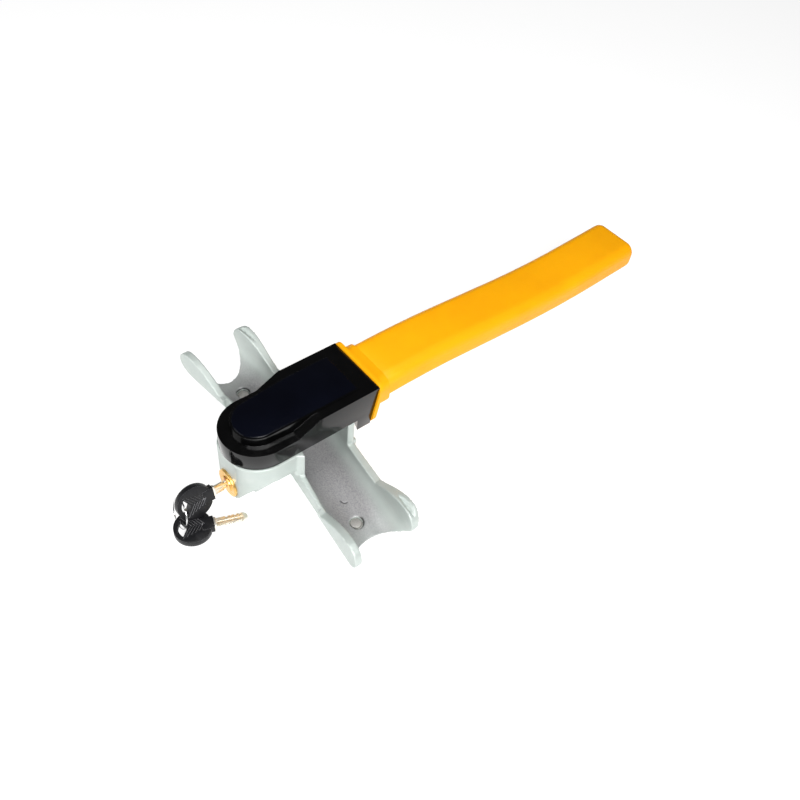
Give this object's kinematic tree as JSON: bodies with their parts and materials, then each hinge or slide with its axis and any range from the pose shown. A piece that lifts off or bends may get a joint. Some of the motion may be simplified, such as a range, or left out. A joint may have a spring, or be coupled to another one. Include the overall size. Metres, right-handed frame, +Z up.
{
  "type": "steering wheel claw lock",
  "caption": "T-shaped steering wheel lock: cast claw with a rim trough and eared arms, swivelling head with a long yellow handle, and a key lock in the nose.",
  "frame": {"origin": "centre of the rim trough, on its axis, midway between the two arms", "axes": "+X along the claw arms, +Y towards the end of the handle, +Z up, away from the trough floor"},
  "size_m": [0.2176, 0.4285, 0.0747],
  "materials": {
    "cast_paint": "satin, pale grey-green paint over a cast skin",
    "dowel_steel": "dull",
    "steel": "ground",
    "dark_steel": "oiled",
    "plate_steel": "plain rolled",
    "brass": "satin",
    "gilt": "satin gold plate",
    "red_enamel": "enamel fill",
    "black_gloss": "gloss",
    "panel_gloss": "high gloss",
    "yellow_plastic": "soft satin vinyl",
    "black_plastic": "matte",
    "key_plastic": "fine matte",
    "key_metal": "nickel-plated, worn",
    "wire": "bright",
    "rubber": "dull black"
  },
  "bodies": {
    "claw": {"claw_casting": "cast_paint", "arm_dowels": "dowel_steel", "rest_pads": "rubber", "post_cap": "cast_paint", "thrust_washer": "brass", "detent_ball": "steel", "detent_spring": "dark_steel", "lock_barrel": "gilt", "barrel_screw": "dark_steel"},
    "head": {"swivel_post": "steel", "post_nut": "steel", "head_plate": "plate_steel", "head_cover": "black_gloss", "cover_panel": "panel_gloss", "cover_screws": "steel", "handle_tube": "plate_steel", "tang_rivets": "steel", "grip_collar": "yellow_plastic", "grip_sleeve": "yellow_plastic", "tube_end_plug": "black_plastic"},
    "plug": {"lock_plug": "gilt", "plug_face": "gilt", "index_dot": "red_enamel", "wafers": "brass", "wafer_springs": "dark_steel", "lock_cam": "steel", "cam_screw": "dark_steel"},
    "key": {"key_blade": "key_metal", "key_bow": "key_plastic"},
    "ring": {"key_ring": "wire"},
    "spare_key": {"spare_blade": "key_metal", "spare_bow": "key_plastic"}
  },
  "joints": [
    {"name": "head_swivel", "type": "hinge", "parent": "claw", "child": "head", "pos_m": [0, -0.039, 0], "axis": [0, 0, 1], "range_deg": [-90, 0]},
    {"name": "plug_turn", "type": "hinge", "parent": "claw", "child": "plug", "pos_m": [0, -0.06, -0.0095], "axis": [0, 1, 0], "range_deg": [0, 90]},
    {"name": "key_pull", "type": "slide", "parent": "plug", "child": "key", "axis": [0, -1, 0], "range_m": [0, 0.03]},
    {"name": "ring_swing", "type": "hinge", "parent": "key", "child": "ring", "pos_m": [0, -0.0971, -0.0095], "axis": [1, 0, 0], "range_deg": [-8, 4]},
    {"name": "spare_swing", "type": "hinge", "parent": "ring", "child": "spare_key", "pos_m": [0.00556, -0.10367, -0.0256], "axis": [0, 0, 1], "range_deg": [-6, 6]}
  ]
}
